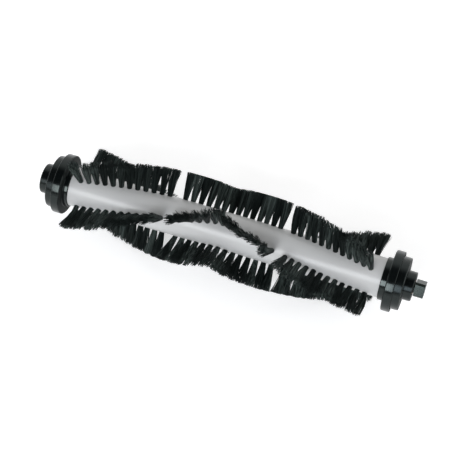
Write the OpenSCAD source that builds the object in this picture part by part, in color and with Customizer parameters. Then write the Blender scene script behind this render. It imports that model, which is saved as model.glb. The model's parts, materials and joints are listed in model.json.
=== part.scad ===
// Main brush roller for the brush bay of a robotic floor cleaner.
// The roller axis is X. The idle (bearing) end is at -X and the drive end is at +X.
// The origin is on the axis, midway between the hub face and the end of the drive head.

/* [Overall] */
// Length from the idle hub's face to the end of the drive head
overall_l = 180; // [178:1:184]
// Diameter over the bristle tips
brush_d = 41.8; // [38:0.2:44]

/* [Tube] */
// Length of the tube between the two end caps
tube_l = 146.2; // [144:0.2:148]
// Diameter of the tube at its ends
tube_end_d = 18; // [17.2:0.1:19]
// Diameter of the tube at its waist
tube_waist_d = 17; // [16.4:0.1:17.2]
// Diameter of the bore through the tube
tube_bore_d = 8; // [7.6:0.1:8.4]

/* [Tufts] */
// Tufts in each outer stretch of a row
outer_count = 12; // [8:1:12]
// Tufts in the middle stretch of a row
middle_count = 14; // [10:1:14]
// Distance from tuft to tuft in the idle stretch, along the axis
idle_pitch = 3.64; // [3.4:0.01:3.64]
// Distance from tuft to tuft in the middle stretch
middle_pitch = 3.48; // [3.4:0.01:3.48]
// Distance from tuft to tuft in the drive stretch
drive_pitch = 3.41; // [3.4:0.01:3.41]
// Distance between the idle and the middle stretch, tuft to tuft
idle_gap = 7; // [6:0.1:8]
// Distance between the middle and the drive stretch, tuft to tuft
drive_gap = 6.3; // [5:0.1:7]
// Distance from the idle hub's face to the first tuft
first_tuft = 19.2; // [18.8:0.1:19.8]
// Diameter of a tuft in its pocket
tuft_d = 2.4; // [2:0.1:2.4]
// Diameter of a tuft at its tips
tuft_tip_d = 3.2; // [2.4:0.1:3.2]
// Depth of a tuft pocket below the tube's end diameter
pocket_depth = 4; // [3.4:0.1:4]
// Distance from the idle hub's face to the point of the V that the rows make
vee_point = 85.8; // [80:0.1:95]
// Angle of the first row at the point of the V, from +Y towards +Z
vee_angle = 9; // [0:1:89]
// Distance on each side of the point over which the V is steeper
vee_reach = 27; // [20:1:30]
// Turn of a row about the axis for each millimetre along it, near the point
vee_twist = 1.5; // [0.8:0.01:1.6]
// Turn of a row for each millimetre, farther out
row_twist = 1.28; // [0.8:0.01:1.5]

/* [Idle end] */
// Length of the idle hub
idle_hub_l = 5; // [4.8:0.1:5.2]
// Diameter of the idle hub, which sits in the machine
idle_hub_d = 13.9; // [13.4:0.1:14.2]
// Thickness of the flange on the idle housing
idle_flange_l = 3.55; // [3.4:0.05:3.7]

/* [Drive end] */
// Length of the drive hub
drive_hub_l = 4; // [3.8:0.1:4.2]
// Diameter of the drive hub, which sits in the machine
drive_hub_d = 13.4; // [13.2:0.1:14]
// Thickness of the flange on the drive sleeve
drive_flange_l = 3.55; // [3.4:0.05:3.7]
// Length of the square drive head
head_l = 4.5; // [4:0.1:5]
// Side of the square drive head
head_side = 6.6; // [6.2:0.1:6.8]
// Width of the flat on each long edge of the head, measured along one side
head_flat = 0.85; // [0.5:0.05:1]
// Turn of the square drive head about the axis
head_turn = 51.5; // [0:0.5:89]

/* [Flanges] */
// Diameter of the flanges on the parts that sit still
flange_d = 24.1; // [23.4:0.1:24.2]
// Diameter of the guard flanges that turn with the roller
guard_d = 27.6; // [27.4:0.1:28.4]
// Diameter of the collars next to the tube
collar_d = 19.5; // [19:0.1:20]
// Thickness of both guard flanges
guard_l = 3.9; // [3.7:0.1:4]
// Height of the lip on a guard flange that hides the gap beside it
lip_l = 0.4; // [0.2:0.1:0.6]

/* [Shafts and fits] */
// Diameter of the idle axle
axle_d = 4; // [3.6:0.1:4.2]
// Diameter of the drive shaft's journal
shaft_d = 5; // [4.8:0.1:5.2]
// Radial clearance between a journal and its bush
running_fit = 0.04; // [0.02:0.01:0.08]
// Gap between a turning face and a still face
face_gap = 0.3; // [0.25:0.05:0.4]

/* [Hidden] */
$fn = 72;

tuft_fn = 24;
glue_line = 0.02;
edge = 0.5;
key_w = 2;
key_depth = 3;
spigot_l = 16;
spigot_d = tube_bore_d - 2 * glue_line;
key_top = spigot_d / 2 + 2.4;

// Places along the axis, from the idle end to the drive end
idle_face_x = -overall_l / 2;
idle_flange_x = idle_face_x + idle_hub_l;
idle_still_x = idle_flange_x + idle_flange_l;
idle_seat_x = idle_still_x + face_gap;
idle_guard_x = idle_seat_x - lip_l;
idle_collar_x = idle_guard_x + guard_l;
head_end_x = overall_l / 2;
head_x = head_end_x - head_l;
neck_l = 0.5;
drive_hub_end_x = head_x - neck_l;
drive_hub_x = drive_hub_end_x - drive_hub_l;
drive_still_x = drive_hub_x - drive_flange_l;
drive_seat_x = drive_still_x - face_gap;
drive_guard_end_x = drive_seat_x + lip_l;
drive_guard_x = drive_guard_end_x - guard_l;
collars_l = drive_guard_x - idle_collar_x - tube_l;
tube_x = idle_collar_x + collars_l * 0.46;
tube_end_x = tube_x + tube_l;
tube_mid_x = (tube_x + tube_end_x) / 2;

// Bushes, washers and felt rings
bush_wall = 1.5;
washer_l = 0.8;
washer_wall = 2;
felt_l = 1.3;
felt_wall = 2.8;
felt_clear = 0.12;
idle_bush_x = idle_face_x + 3.8;
idle_bush_l = idle_still_x - washer_l - idle_bush_x;
clip_x = idle_bush_x - 0.9;
clip_l = 0.6;
groove_d = axle_d - 0.8;
cover_l = 0.9;
cover_d = 9.6;
idle_felt_d = 18;
drive_felt_d = 19;
drive_washer_x = drive_seat_x + 0.05;
drive_bush_x = drive_washer_x + washer_l + 0.05;

// Rows of tufts
idle_start = idle_face_x + first_tuft;
middle_start = idle_start + (outer_count - 1) * idle_pitch + idle_gap;
drive_start = middle_start + (middle_count - 1) * middle_pitch + drive_gap;
starts = [idle_start, middle_start, drive_start];
counts = [outer_count, middle_count, outer_count];
pitches = [idle_pitch, middle_pitch, drive_pitch];
vee_x = idle_face_x + vee_point;
pocket_r = tube_end_d / 2 - pocket_depth;
tip_r = brush_d / 2;
anchor_h = 1.2;
anchor_t = 0.4;
anchor_clear = 0.05;

function stretch_x(stretch) = [
    for (i = [0 : counts[stretch] - 1]) starts[stretch] + i * pitches[stretch]
];
function row_angle(x, row) = vee_angle + 90 * row
    + vee_twist * min(abs(x - vee_x), vee_reach)
    + row_twist * max(abs(x - vee_x) - vee_reach, 0);
function tube_r(x) = tube_waist_d / 2
    + (tube_end_d - tube_waist_d) / 2 * pow(2 * (x - tube_mid_x) / tube_l, 2);

all_tufts_x = concat(stretch_x(0), stretch_x(1), stretch_x(2));

// Turns the X axis of a piece drawn along +Z into the roller's axis
module along_x(x) {
    translate([x, 0, 0]) rotate([0, 90, 0]) children();
}

// A plain bar or ring along the axis
module bar(x, length, d, bore = 0) {
    along_x(x) difference() {
        cylinder(h = length, d = d);
        if (bore > 0) translate([0, 0, -1]) cylinder(h = length + 2, d = bore);
    }
}

// A disc along the axis with both outer edges rounded off in two short bevels
module rounded_disc(x, length, d, soft = edge) {
    r = d / 2;
    b = soft * 0.3;
    along_x(x) rotate_extrude() polygon([
        [0, 0], [r - soft, 0], [r - b, b], [r, soft],
        [r, length - soft], [r - b, length - b], [r - soft, length], [0, length]
    ]);
}

// Places its children at one tuft's foot on the axis, pointing outwards along +Z
module at_tuft(x, row) {
    translate([x, 0, 0]) rotate([row_angle(x, row) - 90, 0, 0]) children();
}

module tuft_anchor(clear = 0) {
    w = tuft_d - 0.2;
    translate([-w / 2 - clear, -anchor_t / 2 - clear, pocket_r + 0.05 - clear])
        cube([w + 2 * clear, anchor_t + 2 * clear, anchor_h + 2 * clear]);
}

module tuft() {
    r = tuft_d / 2 - glue_line;
    foot = pocket_r + 0.05;
    neck = tube_end_d / 2 + 0.4;
    difference() {
        rotate_extrude($fn = tuft_fn) polygon([
            [0, foot], [r, foot], [r, neck], [tuft_tip_d / 2, tip_r], [0, tip_r]
        ]);
        tuft_anchor(anchor_clear);
        translate([-tuft_d, -anchor_t / 2 - anchor_clear, pocket_r - 1])
            cube([2 * tuft_d, anchor_t + 2 * anchor_clear, 1.2]);
    }
}

module bristles(row, stretch) {
    color([0.07, 0.08, 0.08])
        for (x = stretch_x(stretch)) at_tuft(x, row) tuft();
}

// Two keys that carry the torque between an end cap and the tube
module keys(x, length, clear = 0) {
    for (side = [0, 180]) rotate([side, 0, 0])
        translate([x, -key_w / 2 - clear, spigot_d / 2 - 0.5])
            cube([length, key_w + 2 * clear, key_top - spigot_d / 2 + 0.5 + clear]);
}

module roller_tube() {
    steps = 24;
    color([0.83, 0.83, 0.85]) difference() {
        along_x(0) rotate_extrude() polygon(concat(
            [[0, tube_x]],
            [for (i = [0 : steps]) let (x = tube_x + tube_l * i / steps) [tube_r(x), x]],
            [[0, tube_end_x]]
        ));
        along_x(tube_x - 1) cylinder(h = tube_l + 2, d = tube_bore_d);
        keys(tube_x - 1, key_depth + 1 + glue_line, glue_line);
        keys(tube_end_x - key_depth - glue_line, key_depth + 1, glue_line);
        for (row = [0 : 3]) for (x = all_tufts_x) at_tuft(x, row)
            translate([0, 0, pocket_r]) cylinder(h = pocket_depth + 2, d = tuft_d, $fn = tuft_fn);
    }
}

module tuft_anchors() {
    color([0.8, 0.66, 0.36])
        for (row = [0 : 3]) for (x = all_tufts_x) at_tuft(x, row) tuft_anchor();
}

// The shallow round pocket in a guard flange that the still flange runs in
module guard_pocket(x, length) {
    along_x(x) cylinder(h = length, d = flange_d + 2 * face_gap);
}

module idle_end_cap() {
    color([0.06, 0.06, 0.07]) difference() {
        union() {
            rounded_disc(idle_guard_x, guard_l, guard_d, 0.6);
            bar(idle_collar_x - 0.5, tube_x - idle_collar_x + 0.5, collar_d);
            bar(tube_x - 0.5, spigot_l + 0.5, spigot_d);
            keys(tube_x - 0.5, key_depth + 0.5);
        }
        guard_pocket(idle_guard_x - 1, lip_l + 1);
        along_x(idle_guard_x - 1) cylinder(h = spigot_l + 20, d = axle_d);
    }
}

module idle_axle() {
    end_x = tube_x + spigot_l - 0.5;
    color("silver") union() {
        along_x(clip_x - 0.9) cylinder(h = 0.9, d1 = axle_d - 1, d2 = axle_d);
        bar(clip_x - 0.1, clip_l + 0.2, groove_d);
        bar(clip_x + clip_l + 0.1, end_x - clip_x - clip_l - 0.1, axle_d - 2 * glue_line);
    }
}

module idle_thrust_washer() {
    color([0.86, 0.84, 0.78])
        bar(idle_still_x - washer_l + 0.2, washer_l, axle_d + 2 * washer_wall, axle_d + 0.1);
}

module idle_retaining_clip() {
    color([0.55, 0.56, 0.58]) difference() {
        bar(clip_x, clip_l, axle_d + 3.6, groove_d + 0.06);
        translate([clip_x - 1, -1.1, -axle_d * 2]) cube([clip_l + 2, 2.2, axle_d * 2]);
    }
}

module idle_bearing_housing() {
    bush_d = axle_d + 2 * bush_wall;
    chamber_l = idle_bush_x - idle_face_x;
    color([0.06, 0.06, 0.07]) difference() {
        union() {
            rounded_disc(idle_face_x, idle_hub_l + 1, idle_hub_d, 0.4);
            rounded_disc(idle_flange_x, idle_flange_l, flange_d, 0.5);
        }
        along_x(idle_face_x - 1) cylinder(h = chamber_l + 1, d = cover_d);
        along_x(idle_bush_x - 1) cylinder(h = idle_hub_l + idle_flange_l, d = bush_d);
        along_x(idle_still_x - washer_l) cylinder(h = washer_l + 1, d = axle_d + 2 * washer_wall + 1);
        along_x(idle_still_x - felt_l) difference() {
            cylinder(h = felt_l + 1, d = idle_felt_d);
            translate([0, 0, -1]) cylinder(h = felt_l + 3, d = idle_felt_d - 2 * felt_wall);
        }
    }
}

module idle_bush() {
    color([0.72, 0.5, 0.25])
        bar(idle_bush_x, idle_bush_l, axle_d + 2 * bush_wall - 2 * glue_line,
            axle_d - 2 * glue_line + 2 * running_fit);
}

module idle_felt_ring() {
    color([0.35, 0.35, 0.36])
        bar(idle_still_x - felt_l + glue_line, felt_l + face_gap - felt_clear - glue_line,
            idle_felt_d - 2 * glue_line, idle_felt_d - 2 * felt_wall + 2 * glue_line);
}

module idle_hub_cover() {
    color([0.08, 0.08, 0.09]) union() {
        rounded_disc(idle_face_x, cover_l, cover_d - 2 * glue_line, 0.2);
        bar(idle_face_x + cover_l - 0.1, 0.9, cover_d - 2 * glue_line, cover_d - 1.6);
    }
}

module drive_end_cap() {
    pin_x = tube_end_x - spigot_l + 5;
    color([0.06, 0.06, 0.07]) difference() {
        union() {
            rounded_disc(drive_guard_x, guard_l, guard_d, 0.6);
            bar(tube_end_x, drive_guard_x - tube_end_x + 0.5, collar_d);
            bar(tube_end_x - spigot_l, spigot_l + 0.5, spigot_d);
            keys(tube_end_x - key_depth, key_depth + 0.5);
        }
        guard_pocket(drive_seat_x, lip_l + 1);
        along_x(tube_end_x - spigot_l - 1) cylinder(h = spigot_l + 20, d = shaft_d);
        translate([pin_x, 0, 0]) cylinder(h = tube_bore_d + 1, d = 2, center = true);
    }
}

// A square with its four corners cut off
module head_outline() {
    h = head_side / 2;
    c = h - head_flat;
    polygon([[h, -c], [h, c], [c, h], [-c, h], [-h, c], [-h, -c], [-c, -h], [c, -h]]);
}

module drive_shaft() {
    tail_x = tube_end_x - spigot_l + 0.5;
    pin_x = tube_end_x - spigot_l + 5;
    color([0.2, 0.22, 0.21]) difference() {
        union() {
            bar(tail_x, head_x - tail_x + 0.5, shaft_d - 2 * glue_line);
            rotate([head_turn, 0, 0]) along_x(head_x) linear_extrude(head_l) head_outline();
        }
        translate([pin_x, 0, 0]) cylinder(h = tube_bore_d + 1, d = 2, center = true);
    }
}

module drive_cross_pin() {
    pin_x = tube_end_x - spigot_l + 5;
    color("silver") translate([pin_x, 0, 0])
        cylinder(h = spigot_d - 0.6, d = 2 - 2 * glue_line, center = true);
}

module drive_thrust_washer() {
    color([0.86, 0.84, 0.78])
        bar(drive_washer_x, washer_l, shaft_d + 2 * washer_wall, shaft_d + 0.1);
}

module drive_bearing_sleeve() {
    bush_d = shaft_d + 2 * bush_wall;
    total_l = drive_hub_end_x - drive_still_x;
    color([0.06, 0.06, 0.07]) difference() {
        union() {
            rounded_disc(drive_still_x, drive_flange_l, flange_d, 0.6);
            rounded_disc(drive_hub_x - 1, drive_hub_l + 1, drive_hub_d, 0.4);
        }
        along_x(drive_still_x - 1) cylinder(h = total_l + 2, d = bush_d);
        along_x(drive_still_x - 1)
            cylinder(h = drive_bush_x - drive_still_x + 1, d = shaft_d + 2 * washer_wall + 1);
        along_x(drive_still_x - 1) difference() {
            cylinder(h = felt_l + 1, d = drive_felt_d);
            translate([0, 0, -1]) cylinder(h = felt_l + 3, d = drive_felt_d - 2 * felt_wall);
        }
    }
}

module drive_bush() {
    color([0.72, 0.5, 0.25])
        bar(drive_bush_x, drive_hub_end_x - 0.2 - drive_bush_x, shaft_d + 2 * bush_wall - 2 * glue_line,
            shaft_d - 2 * glue_line + 2 * running_fit);
}

module drive_felt_ring() {
    color([0.35, 0.35, 0.36])
        bar(drive_seat_x + felt_clear, felt_l + face_gap - felt_clear - glue_line,
            drive_felt_d - 2 * glue_line, drive_felt_d - 2 * felt_wall + 2 * glue_line);
}

roller_tube();
tuft_anchors();
bristles(0, 0);  // bristles_a_idle
bristles(0, 1);  // bristles_a_middle
bristles(0, 2);  // bristles_a_drive
bristles(1, 0);  // bristles_b_idle
bristles(1, 1);  // bristles_b_middle
bristles(1, 2);  // bristles_b_drive
bristles(2, 0);  // bristles_c_idle
bristles(2, 1);  // bristles_c_middle
bristles(2, 2);  // bristles_c_drive
bristles(3, 0);  // bristles_d_idle
bristles(3, 1);  // bristles_d_middle
bristles(3, 2);  // bristles_d_drive
idle_end_cap();
idle_axle();
idle_thrust_washer();
idle_retaining_clip();
idle_bearing_housing();
idle_bush();
idle_felt_ring();
idle_hub_cover();
drive_end_cap();
drive_shaft();
drive_cross_pin();
drive_thrust_washer();
drive_bearing_sleeve();
drive_bush();
drive_felt_ring();
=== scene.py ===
import bpy
import bmesh
import json
import math
import random
from mathutils import Matrix, Vector


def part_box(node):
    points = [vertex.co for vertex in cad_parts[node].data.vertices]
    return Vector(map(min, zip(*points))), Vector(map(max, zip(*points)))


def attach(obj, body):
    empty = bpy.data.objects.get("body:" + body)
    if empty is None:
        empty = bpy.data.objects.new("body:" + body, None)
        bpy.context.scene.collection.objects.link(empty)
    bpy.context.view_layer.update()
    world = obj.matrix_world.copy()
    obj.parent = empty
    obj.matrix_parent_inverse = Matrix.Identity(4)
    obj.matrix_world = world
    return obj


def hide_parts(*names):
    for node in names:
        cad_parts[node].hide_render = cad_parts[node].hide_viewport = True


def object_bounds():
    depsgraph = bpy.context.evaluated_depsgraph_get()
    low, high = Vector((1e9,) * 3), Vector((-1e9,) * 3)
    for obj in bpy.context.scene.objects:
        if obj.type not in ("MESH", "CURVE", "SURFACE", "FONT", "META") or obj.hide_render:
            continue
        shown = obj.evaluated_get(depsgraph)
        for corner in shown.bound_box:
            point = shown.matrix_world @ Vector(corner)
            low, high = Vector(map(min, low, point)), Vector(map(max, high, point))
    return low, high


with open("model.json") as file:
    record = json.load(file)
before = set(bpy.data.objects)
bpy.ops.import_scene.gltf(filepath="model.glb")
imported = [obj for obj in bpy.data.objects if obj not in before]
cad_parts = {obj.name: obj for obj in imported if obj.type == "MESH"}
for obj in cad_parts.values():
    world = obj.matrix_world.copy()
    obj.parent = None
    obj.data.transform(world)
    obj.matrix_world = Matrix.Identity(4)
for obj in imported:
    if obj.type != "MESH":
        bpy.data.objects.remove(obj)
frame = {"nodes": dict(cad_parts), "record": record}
cadBox = [list(corner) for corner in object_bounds()]
mm = 0.001
print("frame loaded, CAD box", cadBox)


cameraSettings = {
    "azimuth": 19.39,  # degrees to the right of the front
    "elevation": 57.47,
    "distance": 0.6389,
    "lens": 109.5,
    "target": (2.24 * mm, -0.21 * mm, -0.52 * mm),
}

lightSettings = {
    "keyAngle": -27.4,  # degrees below the camera, seen from the roller
    "keyDistance": 2.0,
    "keySpan": (-0.743, -0.031),  # where it starts and ends along the roller
    "keyHeight": 0.93,
    "keyRadiance": 9.5,
    "sky": (1.05, 1.05, 1.05),
    "panel": (1.6, 1.8, 2.15),
    "dark": (0.03, 0.03, 0.03),
    "darkBand": (-50, 58),  # degrees round the roller, 0 at the camera
    "darkFade": (3, 17),
    "darkSpan": (-0.75, 0.25),  # slope along the roller
    "panelBand": (-41, -14),
    "panelSpan": (-0.2, 0.3),
    "panelRest": 0.2,  # what is left of the panel beyond that span
    "floorGlow": 0.42,
}


def directionFrom(azimuth, elevation):
    a, e = math.radians(azimuth), math.radians(elevation)
    return Vector((math.sin(a) * math.cos(e), -math.cos(a) * math.cos(e), math.sin(e)))


def makeCamera():
    s = cameraSettings
    camera = bpy.data.objects.new("camera", bpy.data.cameras.new("camera"))
    bpy.context.scene.collection.objects.link(camera)
    camera.data.lens = s["lens"]
    camera.data.sensor_width = 36
    camera.data.clip_start = 0.01
    back = directionFrom(s["azimuth"], s["elevation"])
    camera.location = Vector(s["target"]) + back * s["distance"]
    camera.rotation_euler = back.to_track_quat("Z", "Y").to_euler()
    bpy.context.scene.camera = camera


def aroundRoller(angle):
    # a direction square to the roller, turned from the camera's side towards the top of its view
    eye = directionFrom(cameraSettings["azimuth"], cameraSettings["elevation"])
    eye.x = 0
    return Matrix.Rotation(math.radians(-angle), 3, "X") @ eye.normalized()


def makeLights():
    s = lightSettings
    start, end = s["keySpan"]
    lamp = bpy.data.lights.new("softbox", "AREA")
    lamp.shape = "RECTANGLE"
    lamp.size = end - start
    lamp.size_y = s["keyHeight"]
    lamp.energy = s["keyRadiance"] * math.pi * lamp.size * lamp.size_y
    key = bpy.data.objects.new("softbox", lamp)
    bpy.context.scene.collection.objects.link(key)
    out = aroundRoller(s["keyAngle"])
    key.location = out * s["keyDistance"] + Vector(((start + end) / 2, 0, 0))
    side = out.cross(Vector((1, 0, 0)))
    key.rotation_euler = Matrix(((1, side.x, out.x), (0, side.y, out.y), (0, side.z, out.z))).to_euler()


def addMath(tree, operation, a=None, b=None):
    node = tree.nodes.new("ShaderNodeMath")
    node.operation = operation
    for index, value in enumerate((a, b)):
        if hasattr(value, "is_output"):
            tree.links.new(value, node.inputs[index])
        elif value is not None:
            node.inputs[index].default_value = value
    return node.outputs[0]


def fadeStep(tree, value, start, end):
    ramp = tree.nodes.new("ShaderNodeMapRange")
    ramp.interpolation_type = "SMOOTHSTEP"
    ramp.inputs["From Min"].default_value = start
    ramp.inputs["From Max"].default_value = end
    tree.links.new(value, ramp.inputs["Value"])
    return ramp.outputs["Result"]


def blendTones(tree, factor, low, high):
    mix = tree.nodes.new("ShaderNodeMix")
    mix.data_type = "RGBA"
    tree.links.new(factor, mix.inputs["Factor"])
    for label, value in (("A", low), ("B", high)):
        if hasattr(value, "is_output"):
            tree.links.new(value, mix.inputs[label])
        else:
            mix.inputs[label].default_value = (*value, 1)
    return mix.outputs["Result"]


def makeWorld():
    # a white room with a dark part behind the camera, which the black plastic mirrors, and a dim panel in it
    s = lightSettings
    world = bpy.data.worlds.new("studio")
    bpy.context.scene.world = world
    world.use_nodes = True
    tree = world.node_tree
    where = tree.nodes.new("ShaderNodeTexCoord").outputs["Generated"]

    def along(direction):
        dot = tree.nodes.new("ShaderNodeVectorMath")
        dot.operation = "DOT_PRODUCT"
        dot.inputs[1].default_value = direction
        tree.links.new(where, dot.inputs[0])
        return dot.outputs["Value"]

    ahead, above, right = along(aroundRoller(0)), along(aroundRoller(90)), along(Vector((1, 0, 0)))
    turn = addMath(tree, "MULTIPLY", addMath(tree, "ARCTAN2", above, ahead), math.degrees(1))
    outward = addMath(tree, "SQRT", addMath(tree, "SUBTRACT", 1.0, addMath(tree, "MULTIPLY", right, right)))
    slope = addMath(tree, "DIVIDE", right, addMath(tree, "MAXIMUM", outward, 0.001))

    def window(value, ends, softLow, softHigh):
        rise = fadeStep(tree, value, ends[0] - softLow, ends[0] + softLow)
        fall = fadeStep(tree, value, ends[1] + softHigh, ends[1] - softHigh)
        return addMath(tree, "MULTIPLY", rise, fall)

    darkPart = addMath(tree, "MULTIPLY", window(turn, s["darkBand"], *s["darkFade"]),
                       window(slope, s["darkSpan"], 0.2, 0.2))
    panelReach = addMath(tree, "MAXIMUM", window(slope, s["panelSpan"], 0.05, 0.05), s["panelRest"])
    panelPart = addMath(tree, "MULTIPLY", window(turn, s["panelBand"], 1.0, 1.0), panelReach)
    colour = blendTones(tree, darkPart, s["sky"], s["dark"])
    colour = blendTones(tree, addMath(tree, "MULTIPLY", panelPart, darkPart), colour, s["panel"])
    tree.links.new(colour, tree.nodes["Background"].inputs["Color"])


def makeFloor():
    bm = bmesh.new()
    bmesh.ops.create_grid(bm, x_segments=4, y_segments=4, size=1.6)
    bmesh.ops.translate(bm, verts=bm.verts, vec=(0, 0, cadBox[0][2] - 0.1 * mm))
    mesh = bpy.data.meshes.new("floor")
    bm.to_mesh(mesh)
    bm.free()
    floor = bpy.data.objects.new("floor", mesh)
    bpy.context.scene.collection.objects.link(floor)
    material = bpy.data.materials.new("paleFloor")
    material.use_nodes = True
    shader = material.node_tree.nodes["Principled BSDF"]
    shader.inputs["Base Color"].default_value = (0.86, 0.86, 0.86, 1)
    shader.inputs["Roughness"].default_value = 0.7
    shader.inputs["Specular IOR Level"].default_value = 0.2
    shader.inputs["Emission Color"].default_value = (1, 1, 1, 1)
    shader.inputs["Emission Strength"].default_value = lightSettings["floorGlow"]
    mesh.materials.append(material)


def makeGroup(name, inputs, outputs):
    group = bpy.data.node_groups.new(name, "ShaderNodeTree")
    for label, value in inputs:
        socket = group.interface.new_socket(label, in_out="INPUT", socket_type="NodeSocketFloat")
        socket.default_value = value
    for label, kind in outputs:
        group.interface.new_socket(label, in_out="OUTPUT", socket_type=kind)
    start = group.nodes.new("NodeGroupInput")
    end = group.nodes.new("NodeGroupOutput")
    return group, start, end


def addNoise(tree, scale, detail, roughness=0.5):
    noise = tree.nodes.new("ShaderNodeTexNoise")
    noise.inputs["Scale"].default_value = scale
    noise.inputs["Detail"].default_value = detail
    noise.inputs["Roughness"].default_value = roughness
    return noise


def makeMouldGroup():
    # the fine uneven skin of a moulded plastic: a height, and a slow drift of tone from -1 to 1
    group, start, end = makeGroup("mouldedSkin", [("Grain Scale", 900.0), ("Flow Scale", 40.0)],
                                  [("Height", "NodeSocketFloat"), ("Drift", "NodeSocketFloat")])
    links = group.links
    where = group.nodes.new("ShaderNodeTexCoord")
    grain = addNoise(group, 900.0, 3.0)
    flow = addNoise(group, 40.0, 2.0)
    for noise, label in ((grain, "Grain Scale"), (flow, "Flow Scale")):
        links.new(where.outputs["Object"], noise.inputs["Vector"])
        links.new(start.outputs[label], noise.inputs["Scale"])
    links.new(grain.outputs["Fac"], end.inputs["Height"])
    links.new(addMath(group, "MULTIPLY_ADD", flow.outputs["Fac"], 2.0), end.inputs["Drift"])
    group.nodes["Math"].inputs[2].default_value = -1.0
    return group


def makeScuffGroup():
    # fine rubbed lines that run round the roller, as a mask from 0 to 1
    group, start, end = makeGroup("rubbedLines", [("Fineness", 1.0), ("Amount", 0.3)],
                                  [("Mask", "NodeSocketFloat")])
    links = group.links
    where = group.nodes.new("ShaderNodeTexCoord")
    stretch = group.nodes.new("ShaderNodeMapping")
    stretch.inputs["Scale"].default_value = (5.0, 0.4, 0.4)
    lines = addNoise(group, 400.0, 2.0, 0.6)
    patches = addNoise(group, 90.0, 2.0)
    links.new(where.outputs["Object"], stretch.inputs["Vector"])
    links.new(stretch.outputs["Vector"], lines.inputs["Vector"])
    links.new(where.outputs["Object"], patches.inputs["Vector"])
    links.new(addMath(group, "MULTIPLY", start.outputs["Fineness"], 400.0), lines.inputs["Scale"])
    narrow = addMath(group, "GREATER_THAN", lines.outputs["Fac"], 0.62)
    spread = addMath(group, "MULTIPLY", narrow, patches.outputs["Fac"])
    links.new(addMath(group, "MULTIPLY", spread, start.outputs["Amount"]), end.inputs["Mask"])
    return group


def makeFaceGroup():
    # 1 on faces square to the roller's axis, 0 on the rims
    group, start, end = makeGroup("endFaces", [("Edge", 0.8)], [("Mask", "NodeSocketFloat")])
    where = group.nodes.new("ShaderNodeTexCoord")
    parts = group.nodes.new("ShaderNodeSeparateXYZ")
    group.links.new(where.outputs["Normal"], parts.inputs["Vector"])
    turned = addMath(group, "ABSOLUTE", parts.outputs["X"])
    group.links.new(addMath(group, "GREATER_THAN", turned, start.outputs["Edge"]), end.inputs["Mask"])
    return group


def makeStrandGroup():
    # a tone from 0 to 1 that runs along the filaments, outwards from the axis, with paler and darker tufts;
    # the pale streaks are partly random tone and partly a painted highlight along the filaments
    group, start, end = makeGroup("strandToneAndSheen", [("Strand Scale", 2600.0), ("Tuft Scale", 150.0)],
                                  [("Tone", "NodeSocketFloat")])
    links = group.links
    where = group.nodes.new("ShaderNodeTexCoord")
    parts = group.nodes.new("ShaderNodeSeparateXYZ")
    links.new(where.outputs["Object"], parts.inputs["Vector"])
    turn = addMath(group, "ARCTAN2", parts.outputs["Z"], parts.outputs["Y"])
    flat = group.nodes.new("ShaderNodeCombineXYZ")
    links.new(parts.outputs["X"], flat.inputs["X"])
    links.new(addMath(group, "MULTIPLY", turn, 0.014), flat.inputs["Y"])
    fine = addNoise(group, 2600.0, 1.0)
    broad = addNoise(group, 150.0, 1.0)
    for noise, label in ((fine, "Strand Scale"), (broad, "Tuft Scale")):
        links.new(flat.outputs["Vector"], noise.inputs["Vector"])
        links.new(start.outputs[label], noise.inputs["Scale"])
    fineTone = fadeStep(group, fine.outputs["Fac"], 0.3, 0.72)
    broadTone = fadeStep(group, broad.outputs["Fac"], 0.42, 0.64)
    share = addMath(group, "ADD", broadTone, 0.12)
    links.new(addMath(group, "MULTIPLY", fineTone, share), end.inputs["Tone"])
    return group


mouldedSkin = makeMouldGroup()
rubbedLines = makeScuffGroup()
endFaces = makeFaceGroup()
strandToneAndSheen = makeStrandGroup()


def startMaterial(name):
    material = bpy.data.materials.new(name)
    material.use_nodes = True
    tree = material.node_tree
    return material, tree, tree.nodes["Principled BSDF"]


def placeGroup(tree, group, **values):
    node = tree.nodes.new("ShaderNodeGroup")
    node.node_tree = group
    for label, value in values.items():
        node.inputs[label.replace("_", " ")].default_value = value
    return node


def spreadValue(tree, factor, low, high):
    ramp = tree.nodes.new("ShaderNodeMapRange")
    ramp.inputs["To Min"].default_value = low
    ramp.inputs["To Max"].default_value = high
    tree.links.new(factor, ramp.inputs["Value"])
    return ramp.outputs["Result"]


def addBump(tree, shader, height, strength, distance):
    bump = tree.nodes.new("ShaderNodeBump")
    bump.inputs["Strength"].default_value = strength
    bump.inputs["Distance"].default_value = distance
    tree.links.new(height, bump.inputs["Height"])
    tree.links.new(bump.outputs["Normal"], shader.inputs["Normal"])


def mouldedPlastic(name, low, high, roughness, grain=900.0, bump=0.02, scuff=0.2, level=0.5,
                   tint=(1, 1, 1), faceRoughness=0.0):
    material, tree, shader = startMaterial(name)
    skin = placeGroup(tree, mouldedSkin, Grain_Scale=grain, Flow_Scale=45.0)
    rub = placeGroup(tree, rubbedLines, Fineness=1.0, Amount=scuff)
    drift = spreadValue(tree, skin.outputs["Drift"], 0.0, 1.0)
    tree.links.new(blendTones(tree, drift, low, high), shader.inputs["Base Color"])
    base = spreadValue(tree, skin.outputs["Height"], roughness * 0.92, roughness * 1.08)
    face = placeGroup(tree, endFaces, Edge=0.8)
    rough = addMath(tree, "ADD", base, rub.outputs["Mask"])
    rough = addMath(tree, "ADD", rough, addMath(tree, "MULTIPLY", face.outputs["Mask"], faceRoughness))
    tree.links.new(rough, shader.inputs["Roughness"])
    addBump(tree, shader, skin.outputs["Height"], bump, 0.00002)
    shader.inputs["Specular IOR Level"].default_value = level
    shader.inputs["Specular Tint"].default_value = (*tint, 1)
    return material


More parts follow.
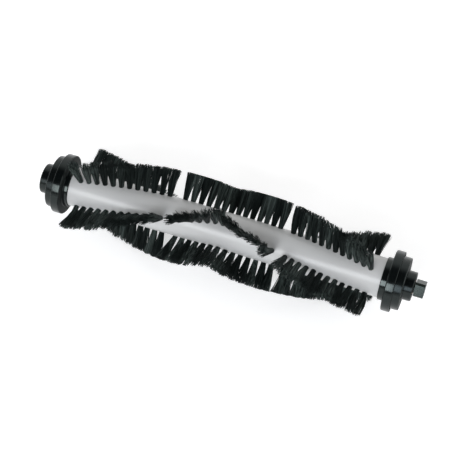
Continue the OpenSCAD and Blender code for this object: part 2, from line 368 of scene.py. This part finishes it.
def turnedMetal(name, low, high, roughness):
    material, tree, shader = startMaterial(name)
    rub = placeGroup(tree, rubbedLines, Fineness=2.0, Amount=0.5)
    tree.links.new(blendTones(tree, rub.outputs["Mask"], low, high), shader.inputs["Base Color"])
    rough = spreadValue(tree, rub.outputs["Mask"], roughness, roughness + 0.2)
    tree.links.new(rough, shader.inputs["Roughness"])
    shader.inputs["Metallic"].default_value = 1.0
    return material


def pressedFelt():
    material, tree, shader = startMaterial("pressedFelt")
    skin = placeGroup(tree, mouldedSkin, Grain_Scale=2600.0, Flow_Scale=300.0)
    tone = blendTones(tree, skin.outputs["Height"], (0.05, 0.05, 0.052), (0.14, 0.14, 0.145))
    tree.links.new(tone, shader.inputs["Base Color"])
    shader.inputs["Roughness"].default_value = 0.95
    shader.inputs["Sheen Weight"].default_value = 0.4
    addBump(tree, shader, skin.outputs["Height"], 0.6, 0.0001)
    return material


def blackNylon():
    # drawn filament: near black with a cool green cast, paler along some strands and in some tufts, which is
    # partly random tone and partly a painted highlight
    material, tree, shader = startMaterial("blackNylon")
    strand = placeGroup(tree, strandToneAndSheen, Strand_Scale=1500.0, Tuft_Scale=150.0)
    # the pale end of this blend is partly random tone and partly a painted highlight on the strands
    tone = blendTones(tree, strand.outputs["Tone"], (0.001, 0.0018, 0.0018), (0.078, 0.099, 0.092))
    tree.links.new(tone, shader.inputs["Base Color"])
    tree.links.new(spreadValue(tree, strand.outputs["Tone"], 0.55, 0.35), shader.inputs["Roughness"])
    shader.inputs["IOR"].default_value = 1.45
    shader.inputs["Specular IOR Level"].default_value = 0.3
    shader.inputs["Specular Tint"].default_value = (0.75, 1, 0.97, 1)
    return material


blackTones = ((0.002, 0.0028, 0.003), (0.004, 0.0052, 0.0055))
blackGloss = {"level": 0.36, "tint": (0.86, 1, 0.97), "faceRoughness": 0.5}  # end faces are duller than rims

finishes = {
    "tube_plastic": mouldedPlastic("paleTubePlastic", (0.49, 0.495, 0.492), (0.52, 0.525, 0.522), 0.34,
                                   grain=1200.0, bump=0.03, scuff=0.06),
    "cap_plastic": mouldedPlastic("glossyBlackPlastic", *blackTones, 0.14,
                                  grain=1500.0, bump=0.015, scuff=0.10, **blackGloss),
    "housing": mouldedPlastic("bearingBlackPlastic", *blackTones, 0.18,
                              grain=1600.0, bump=0.03, scuff=0.12, **blackGloss),
    "shaft_plastic": mouldedPlastic("filledShaftPlastic", (0.006, 0.009, 0.007), (0.028, 0.036, 0.030), 0.22,
                                    grain=1400.0, bump=0.2, scuff=0.3, level=0.5, tint=(0.85, 1, 0.95)),
    "washer_plastic": mouldedPlastic("naturalAcetal", (0.7, 0.68, 0.62), (0.76, 0.74, 0.68), 0.4),
    "steel": turnedMetal("turnedSteel", (0.55, 0.55, 0.56), (0.7, 0.7, 0.71), 0.25),
    "anchor_wire": turnedMetal("anchorWire", (0.62, 0.48, 0.24), (0.74, 0.6, 0.34), 0.3),
    "bush_bronze": turnedMetal("sinteredBronze", (0.45, 0.3, 0.15), (0.58, 0.4, 0.22), 0.4),
    "felt": pressedFelt(),
    "bristle_nylon": blackNylon(),
}


def finishPiece(bm, name, body, nodes, material, smoothAngle=32, evenShading=True):
    # evenShading keeps a broad rim flat between its rounded edges, so that a reflection crosses all of it
    mesh = bpy.data.meshes.new(name)
    bm.to_mesh(mesh)
    bm.free()
    piece = bpy.data.objects.new(name, mesh)
    bpy.context.scene.collection.objects.link(piece)
    mesh.materials.append(material)
    for polygon in mesh.polygons:
        polygon.use_smooth = True
    mesh.set_sharp_from_angle(angle=math.radians(smoothAngle))
    if evenShading:
        weigh = piece.modifiers.new("evenShading", "WEIGHTED_NORMAL")
        weigh.keep_sharp = True
        bpy.context.view_layer.update()
        graph = bpy.context.evaluated_depsgraph_get()
        shaded = bpy.data.meshes.new_from_object(piece.evaluated_get(graph), preserve_all_data_layers=True,
                                                 depsgraph=graph)
        piece.modifiers.clear()
        piece.data = shaded
        bpy.data.meshes.remove(mesh)
        shaded.name = name
    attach(piece, body)
    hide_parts(*nodes)
    print("made", name, len(piece.data.polygons), "faces")
    return piece


def spinOutline(outline, steps=96):
    # outline is a closed loop of (place along the axis, radius), in metres
    bm = bmesh.new()
    verts = [bm.verts.new((x, 0, r)) for x, r in outline]
    edges = [bm.edges.new((a, b)) for a, b in zip(verts, verts[1:] + verts[:1])]
    bmesh.ops.spin(bm, geom=verts + edges, cent=(0, 0, 0), axis=(1, 0, 0), dvec=(0, 0, 0),
                   angle=math.tau, steps=steps, use_merge=True)
    bmesh.ops.remove_doubles(bm, verts=bm.verts, dist=0.001 * mm)
    bmesh.ops.recalc_face_normals(bm, faces=bm.faces)
    return bm


def softenEdges(bm, width, angle=40, where=None, segments=3):
    sharp = [e for e in bm.edges if len(e.link_faces) == 2 and e.calc_face_angle() > math.radians(angle)
             and (where is None or where(e))]
    bmesh.ops.bevel(bm, geom=sharp, offset=width, offset_type="OFFSET", segments=segments,
                    profile=0.5, affect="EDGES", material=-1, clamp_overlap=True)


def edgeRadius(edge):
    middle = (edge.verts[0].co + edge.verts[1].co) / 2
    return math.hypot(middle.y, middle.z)


idleEnd = {
    "hubLength": 5.0 * mm,
    "hubRadius": 6.95 * mm,
    "draft": 0.1 * mm,  # how much a moulded rim narrows towards its outer edge
    "chamberLength": 3.8 * mm,
    "chamberRadius": 4.8 * mm,
    "bushRadius": 3.5 * mm,
    "recessLength": 0.8 * mm,
    "recessRadius": 4.5 * mm,
    "feltDepth": 1.3 * mm,
    "feltOuter": 9.0 * mm,
    "feltInner": 6.2 * mm,
    "guardLength": 3.9 * mm,
    "lipLength": 0.4 * mm,
    "pocketRadius": 12.35 * mm,
    "collarRadius": 9.75 * mm,
    "spigotRadius": 3.98 * mm,
    "axleRadius": 2.0 * mm,
    "hubRound": 0.5 * mm,
    "rimRound": 0.4 * mm,
    "guardOuterRound": 0.3 * mm,
    "guardInnerRound": 0.6 * mm,
    "collarRound": 0.3 * mm,
    "coverDepth": 0.9 * mm,
    "coverWall": 0.78 * mm,
    "coverRound": 0.2 * mm,
    "dimpleRadius": 1.1 * mm,
    "dimpleDepth": 0.35 * mm,
    "dimpleSlope": 0.5 * mm,
}


def makeIdleHousing():
    s = idleEnd
    low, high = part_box("idle_bearing_housing")
    face, still = low.x, high.x
    flange = face + s["hubLength"]
    flangeRadius = high.z
    outline = [
        (face, s["chamberRadius"]), (face, s["hubRadius"] - s["draft"]),
        (flange, s["hubRadius"]), (flange, flangeRadius - s["draft"]),
        (still, flangeRadius), (still, s["feltOuter"]),
        (still - s["feltDepth"], s["feltOuter"]), (still - s["feltDepth"], s["feltInner"]),
        (still, s["feltInner"]), (still, s["recessRadius"]),
        (still - s["recessLength"], s["recessRadius"]), (still - s["recessLength"], s["bushRadius"]),
        (face + s["chamberLength"], s["bushRadius"]), (face + s["chamberLength"], s["chamberRadius"]),
    ]
    bm = spinOutline(outline)
    onHub = lambda e: edgeRadius(e) > s["hubRadius"] - 0.3 * mm and e.verts[0].co.x < face + 0.1 * mm
    onRim = lambda e: edgeRadius(e) > flangeRadius - 0.3 * mm and e.verts[0].co.x < still - 1 * mm
    softenEdges(bm, s["hubRound"], where=onHub, segments=5)
    softenEdges(bm, s["rimRound"], where=onRim, segments=4)
    finishPiece(bm, "idleBearingHousing", "idle_bearing", ["idle_bearing_housing"],
                finishes["housing"])


def makeIdleHubCover():
    s = idleEnd
    low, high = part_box("idle_hub_cover")
    plate = low.x + s["coverDepth"]
    outer = high.z
    inner = outer - s["coverWall"]
    floor = low.x + s["dimpleDepth"]
    outline = [
        (floor, 0), (floor, s["dimpleRadius"]),
        (low.x, s["dimpleRadius"] + s["dimpleSlope"]), (low.x, outer),
        (high.x, outer), (high.x, inner), (plate, inner), (plate, 0),
    ]
    bm = spinOutline(outline)
    softenEdges(bm, s["coverRound"], where=lambda e: edgeRadius(e) > outer - 0.05 * mm, segments=3)
    finishPiece(bm, "idleHubCover", "idle_bearing", ["idle_hub_cover"], finishes["housing"])


def makeIdleEndCap():
    s = idleEnd
    low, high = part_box("idle_end_cap")
    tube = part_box("roller_tube")[0].x
    collar = low.x + s["guardLength"]
    seat = low.x + s["lipLength"]
    guardRadius = high.z
    outline = [
        (seat, s["axleRadius"]), (seat, s["pocketRadius"]),
        (low.x, s["pocketRadius"]), (low.x, guardRadius),
        (collar, guardRadius), (collar, s["collarRadius"]),
        (tube, s["collarRadius"]), (tube, s["spigotRadius"]),
        (high.x, s["spigotRadius"]), (high.x, s["axleRadius"]),
    ]
    bm = spinOutline(outline, 128)
    onLeft = lambda e: edgeRadius(e) > guardRadius - 0.1 * mm and e.verts[0].co.x < low.x + 0.1 * mm
    onRight = lambda e: edgeRadius(e) > guardRadius - 0.1 * mm and e.verts[0].co.x > collar - 0.1 * mm
    onCollar = lambda e: abs(edgeRadius(e) - s["collarRadius"]) < 0.05 * mm
    softenEdges(bm, s["guardOuterRound"], where=onLeft, segments=4)
    softenEdges(bm, s["guardInnerRound"], where=onRight, segments=5)
    softenEdges(bm, s["collarRound"], where=onCollar, segments=3)
    finishPiece(bm, "idleEndCap", "brush_roller", ["idle_end_cap"], finishes["cap_plastic"])


driveEnd = {
    "guardLength": 3.9 * mm,
    "lipLength": 0.4 * mm,
    "pocketRadius": 12.35 * mm,
    "flangeLength": 3.55 * mm,
    "hubRadius": 6.7 * mm,
    "draft": 0.1 * mm,
    "collarRadius": 9.75 * mm,
    "spigotRadius": 3.98 * mm,
    "shaftRadius": 2.5 * mm,
    "bushRadius": 4.0 * mm,
    "recessLength": 0.6 * mm,
    "recessRadius": 5.0 * mm,
    "feltDepth": 1.3 * mm,
    "feltOuter": 9.5 * mm,
    "feltInner": 6.7 * mm,
    "headLength": 4.5 * mm,
    "headSide": 6.6 * mm,
    "headTurn": 51.5,  # degrees about the roller's axis
    "headFlat": 0.85 * mm,
    "guardInnerRound": 0.55 * mm,
    "guardOuterRound": 0.25 * mm,
    "collarRound": 0.3 * mm,
    "flangeRound": 0.35 * mm,
    "journalRound": 0.3 * mm,
    "flatRound": 0.12 * mm,
    "headRound": 0.25 * mm,
    "headOverlap": 0.5 * mm,  # how far the journal runs into the head
}


def makeDriveEndCap():
    s = driveEnd
    low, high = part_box("drive_end_cap")
    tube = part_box("roller_tube")[1].x
    guard = high.x - s["guardLength"]
    seat = high.x - s["lipLength"]
    guardRadius = high.z
    outline = [
        (low.x, s["shaftRadius"]), (low.x, s["spigotRadius"]),
        (tube, s["spigotRadius"]), (tube, s["collarRadius"]),
        (guard, s["collarRadius"]), (guard, guardRadius),
        (high.x, guardRadius), (high.x, s["pocketRadius"]),
        (seat, s["pocketRadius"]), (seat, s["shaftRadius"]),
    ]
    bm = spinOutline(outline, 128)
    onLeft = lambda e: edgeRadius(e) > guardRadius - 0.1 * mm and e.verts[0].co.x < guard + 0.1 * mm
    onRight = lambda e: edgeRadius(e) > guardRadius - 0.1 * mm and e.verts[0].co.x > high.x - 0.1 * mm
    onCollar = lambda e: (abs(edgeRadius(e) - s["collarRadius"]) < 0.05 * mm
                          and e.verts[0].co.x < tube + 0.1 * mm)
    softenEdges(bm, s["guardInnerRound"], where=onLeft, segments=5)
    softenEdges(bm, s["guardOuterRound"], where=onRight, segments=3)
    softenEdges(bm, s["collarRound"], where=onCollar, segments=3)
    finishPiece(bm, "driveEndCap", "brush_roller", ["drive_end_cap"], finishes["cap_plastic"])


def makeDriveSleeve():
    s = driveEnd
    low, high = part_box("drive_bearing_sleeve")
    hub = low.x + s["flangeLength"]
    flangeRadius = high.z
    outline = [
        (low.x, s["recessRadius"]), (low.x, s["feltInner"]),
        (low.x + s["feltDepth"], s["feltInner"]), (low.x + s["feltDepth"], s["feltOuter"]),
        (low.x, s["feltOuter"]), (low.x, flangeRadius),
        (hub, flangeRadius - s["draft"]), (hub, s["hubRadius"]),
        (high.x, s["hubRadius"] - s["draft"]), (high.x, s["bushRadius"]),
        (low.x + s["recessLength"], s["bushRadius"]), (low.x + s["recessLength"], s["recessRadius"]),
    ]
    bm = spinOutline(outline)
    onRim = lambda e: edgeRadius(e) > flangeRadius - 0.3 * mm and e.verts[0].co.x > low.x + 1 * mm
    onHub = lambda e: edgeRadius(e) > s["hubRadius"] - 0.3 * mm and e.verts[0].co.x > high.x - 0.1 * mm
    softenEdges(bm, s["flangeRound"], where=onRim, segments=4)
    softenEdges(bm, s["flangeRound"], where=onHub, segments=4)
    finishPiece(bm, "driveBearingSleeve", "drive_bearing", ["drive_bearing_sleeve"],
                finishes["housing"])


def joinShapes(first, second, operation):
    # one solid from two meshes, by Blender's exact Boolean
    objects = []
    for mesh in (first, second):
        shape = bpy.data.objects.new("shape", mesh)
        bpy.context.scene.collection.objects.link(shape)
        objects.append(shape)
    cut = objects[0].modifiers.new("join", "BOOLEAN")
    cut.object = objects[1]
    cut.operation = operation
    cut.solver = "EXACT"
    bpy.context.view_layer.update()
    made = bpy.data.meshes.new_from_object(objects[0].evaluated_get(bpy.context.evaluated_depsgraph_get()))
    for shape in objects:
        bpy.data.objects.remove(shape)
    return made


def toMesh(bm, name):
    mesh = bpy.data.meshes.new(name)
    bm.to_mesh(mesh)
    bm.free()
    return mesh


def makeDriveShaft():
    s = driveEnd
    low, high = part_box("drive_shaft")
    head = high.x - s["headLength"]
    radius = s["shaftRadius"] - 0.02 * mm
    inHead = head + s["headOverlap"]
    journal = spinOutline([(low.x, 0), (low.x, radius), (inHead, radius), (inHead, 0)], 48)
    softenEdges(journal, s["journalRound"], where=lambda e: e.verts[0].co.x < low.x + 0.1 * mm)
    block = bmesh.new()
    bmesh.ops.create_cube(block, size=1.0)
    bmesh.ops.scale(block, verts=block.verts, vec=(s["headLength"], s["headSide"], s["headSide"]))
    alongAxis = lambda e: abs(e.verts[0].co.x - e.verts[1].co.x) > 1 * mm
    softenEdges(block, s["headFlat"], where=alongAxis, segments=1)
    softenEdges(block, s["flatRound"], angle=30, where=alongAxis, segments=2)
    atEnd = lambda e: min(v.co.x for v in e.verts) > s["headLength"] / 2 - 0.01 * mm
    softenEdges(block, s["headRound"], where=atEnd, segments=3)
    bmesh.ops.rotate(block, verts=block.verts, cent=(0, 0, 0),
                     matrix=Matrix.Rotation(math.radians(s["headTurn"]), 3, "X"))
    bmesh.ops.translate(block, verts=block.verts, vec=(head + s["headLength"] / 2, 0, 0))
    whole = joinShapes(toMesh(journal, "journal"), toMesh(block, "head"), "UNION")
    bm = bmesh.new()
    bm.from_mesh(whole)
    finishPiece(bm, "driveShaft", "brush_roller", ["drive_shaft"],
                finishes["shaft_plastic"])


brush = {
    "tubeEndRadius": 9.0 * mm,
    "tubeWaistRadius": 8.5 * mm,
    "tuftTipRadius": 1.6 * mm,
    "veePoint": 85.8 * mm,  # from the idle hub's face
    "veeAngle": 9.0,
    "veeReach": 27 * mm,
    "veeTwist": 1.5 / mm,  # degrees for each metre
    "rowTwist": 1.28 / mm,
    "trimRadius": 21.0 * mm,
    "bundleRadius": 1.08 * mm,
    "filaments": 110,
    "filamentRadius": 0.104 * mm,
    "flare": 2.25,
    "footDepth": 1.6 * mm,
    "leanScatter": 0.24 * mm,
    "sideScatter": 0.35 * mm,
    "tuftBow": 0.2 * mm,
    "filamentBow": 0.14 * mm,
    "tipScatter": 0.2 * mm,
    "trimScatter": 0.07 * mm,
    "strayShare": 0.025,  # of the filaments stick out of their bundle
    "strayFactor": 2.4,
    "strayShortfall": 0.8 * mm,
    "seed": 12,
}
stretches = {"idle": 12, "middle": 14, "drive": 12}  # tufts in each
leans = {  # mm at the tips along the roller, for the first and the last tuft of a stretch
    "a": {"idle": (-1.0, 0.1), "middle": (0.4, 0.5), "drive": (0.2, -2.0)},
    "b": {"idle": (-1.6, -1.6), "middle": (-0.9, 0.6), "drive": (-1.2, -0.4)},
    "c": {"idle": (0.0, -0.2), "middle": (-2.4, 0.9), "drive": (-0.7, 0.0)},
    "d": {"idle": (1.8, 0.0), "middle": (0.0, 0.0), "drive": (0.5, 0.8)},
}
sideLeans = {  # the same, round the roller
    "a": {"idle": (-1.2, 0.0), "middle": (0.0, 0.0), "drive": (-0.8, -2.0)},
    "b": {"idle": (-2.0, -2.5), "middle": (0.0, 0.0), "drive": (0.0, -4.2)},
    "c": {"idle": (-2.0, -1.0), "middle": (-5.6, -6.0), "drive": (-5.0, -4.6)},
    "d": {"idle": (0.0, 0.0), "middle": (0.0, 0.0), "drive": (-3.6, -3.4)},
}
ownLeans = {  # single tufts that stand differently: along the roller, round it
    "aIdle": {0: (-1.2, -0.4), 1: (0.8, 0), 8: (-0.4, 0), 9: (0.3, 0), 10: (-0.4, 0), 11: (0.3, 0)},
    "bMiddle": {10: (0, -1.0), 11: (0, -1.4), 12: (0.3, -2.7), 13: (-2.8, -2.1)},
    "bDrive": {9: (-0.9, 0), 10: (0.6, 0), 11: (-0.2, 0)},
}
rowNames = ["a", "b", "c", "d"]
goldenTurn = 2.39996  # radians from one filament to the next, which spreads them evenly


def tubeRadius(x):
    low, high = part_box("roller_tube")
    share = (x - (low.x + high.x) / 2) / (high.x - low.x) * 2
    return brush["tubeWaistRadius"] + (brush["tubeEndRadius"] - brush["tubeWaistRadius"]) * share ** 2


def rowAngle(x, row):
    vee = cadBox[0][0] + brush["veePoint"]
    near = min(abs(x - vee), brush["veeReach"])
    far = abs(x - vee) - near
    return math.radians(brush["veeAngle"] + brush["veeTwist"] * near + brush["rowTwist"] * far + 90 * row)


def addTuft(curve, x, angle, lean, sideLean, draw):
    # one bundle of filaments that fans out from its pocket to the trimmed tips
    s = brush
    out = Vector((0, math.cos(angle), math.sin(angle)))
    side = Vector((0, -math.sin(angle), math.cos(angle)))
    along = Vector((1, 0, 0))
    surface = tubeRadius(x)
    foot = surface - s["footDepth"]
    leanAlong = lean + draw.gauss(0, s["leanScatter"])
    leanSide = sideLean + draw.gauss(0, s["sideScatter"])
    bow = draw.gauss(0, s["tuftBow"])
    for k in range(s["filaments"]):
        spread = math.sqrt((k + 0.5) / s["filaments"])
        turn = k * goldenTurn + draw.uniform(-0.25, 0.25)
        u, v = (s["bundleRadius"] * spread * f(turn) for f in (math.cos, math.sin))
        stray = s["strayFactor"] if draw.random() < s["strayShare"] else 1.0
        tipU = u * s["flare"] + leanAlong + draw.gauss(0, s["tipScatter"]) * stray
        tipV = v * s["flare"] + leanSide + draw.gauss(0, s["tipScatter"]) * stray
        shortfall = abs(draw.gauss(0, s["trimScatter"]))
        if stray > 1:
            shortfall += draw.uniform(0, s["strayShortfall"])
        reach = s["trimRadius"] - shortfall
        ownBow = bow + draw.gauss(0, s["filamentBow"])
        height = math.sqrt((reach - surface) ** 2 - tipV ** 2)
        spline = curve.splines.new("POLY")
        shares = (None, 0.0, 0.3, 0.62, 1.0)
        spline.points.add(len(shares) - 1)
        for point, t in zip(spline.points, shares):
            if t is None:
                place = along * (x + u) + side * v + out * foot
            else:
                ease = t ** 1.05
                arch = ownBow * 4 * t * (1 - t)
                place = (along * (x + u + (tipU - u) * ease + arch) + side * (v + (tipV - v) * ease)
                         + out * (surface + height * t))
            point.co = (*place, 1)


def makeTufts(row, stretch, index):
    s = brush
    node = "bristles_" + rowNames[row] + "_" + stretch
    low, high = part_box(node)
    first, last = low.x + s["tuftTipRadius"], high.x - s["tuftTipRadius"]
    count = stretches[stretch]
    draw = random.Random(s["seed"] + 10 * row + index)
    curve = bpy.data.curves.new(node, "CURVE")
    curve.dimensions = "3D"
    curve.bevel_depth = s["filamentRadius"]
    curve.bevel_resolution = 0
    curve.use_fill_caps = True
    letter = rowNames[row]
    ownLean = ownLeans.get(letter + stretch.capitalize(), {})
    for i in range(count):
        share = i / (count - 1)
        x = first * (1 - share) + last * share
        lean, sideLean = (start * (1 - share) + end * share
                          for start, end in (leans[letter][stretch], sideLeans[letter][stretch]))
        more, sideMore = ownLean.get(i, (0, 0))
        addTuft(curve, x, rowAngle(x, row), (lean + more) * mm, (sideLean + sideMore) * mm, draw)
    bundle = bpy.data.objects.new(node, curve)
    bpy.context.scene.collection.objects.link(bundle)
    bpy.context.view_layer.update()
    mesh = bpy.data.meshes.new_from_object(bundle.evaluated_get(bpy.context.evaluated_depsgraph_get()))
    bpy.data.objects.remove(bundle)
    bm = bmesh.new()
    bm.from_mesh(mesh)
    name = "nylonTufts" + rowNames[row].upper() + stretch.capitalize()
    finishPiece(bm, name, "brush_roller", [node], finishes["bristle_nylon"],
                smoothAngle=60, evenShading=False)


def makeAllTufts():
    for row in range(len(rowNames)):
        for index, stretch in enumerate(stretches):
            makeTufts(row, stretch, index)


def dressNodes():
    for row in frame["record"]["subparts"]:
        node = frame["nodes"][row["node"]]
        node.data.materials.clear()
        node.data.materials.append(finishes[row["material_slot"]])


makeCamera()
makeLights()
makeWorld()
makeFloor()
dressNodes()
print("camera, light and carried-over pieces ready")
makeIdleHousing()
makeIdleHubCover()
makeIdleEndCap()
makeDriveEndCap()
makeDriveSleeve()
makeDriveShaft()
makeAllTufts()
bpy.context.scene.view_settings.view_transform = "Standard"
